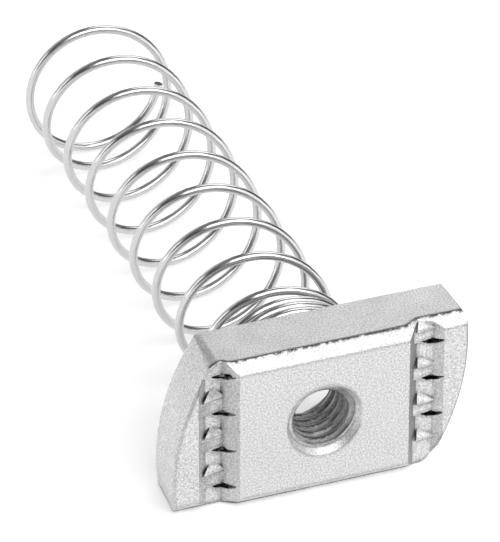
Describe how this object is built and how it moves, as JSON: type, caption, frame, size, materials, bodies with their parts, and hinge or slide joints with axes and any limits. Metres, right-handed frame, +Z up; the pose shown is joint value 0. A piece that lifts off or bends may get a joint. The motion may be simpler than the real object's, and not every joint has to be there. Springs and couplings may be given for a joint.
{
  "type": "strut spring nut",
  "caption": "Channel nut with toothed grooves for the channel's lips, a threaded hole, and a long coil spring that holds it in place.",
  "frame": {"origin": "on the axis of the threaded hole, midway through the nut's thickness", "axes": "+X along the nut's length, +Y from the toothed face through the nut and along the spring, +Z up across the nut's width; the nut lies on a long side"},
  "size_m": [0.0354, 0.0788, 0.0192],
  "materials": {
    "plated_nut": "bright zinc plate, satin",
    "spring_wire": "bright zinc plate, drawn wire"
  },
  "bodies": {
    "root": {"channel_nut": "plated_nut", "spring": "spring_wire"}
  },
  "joints": []
}
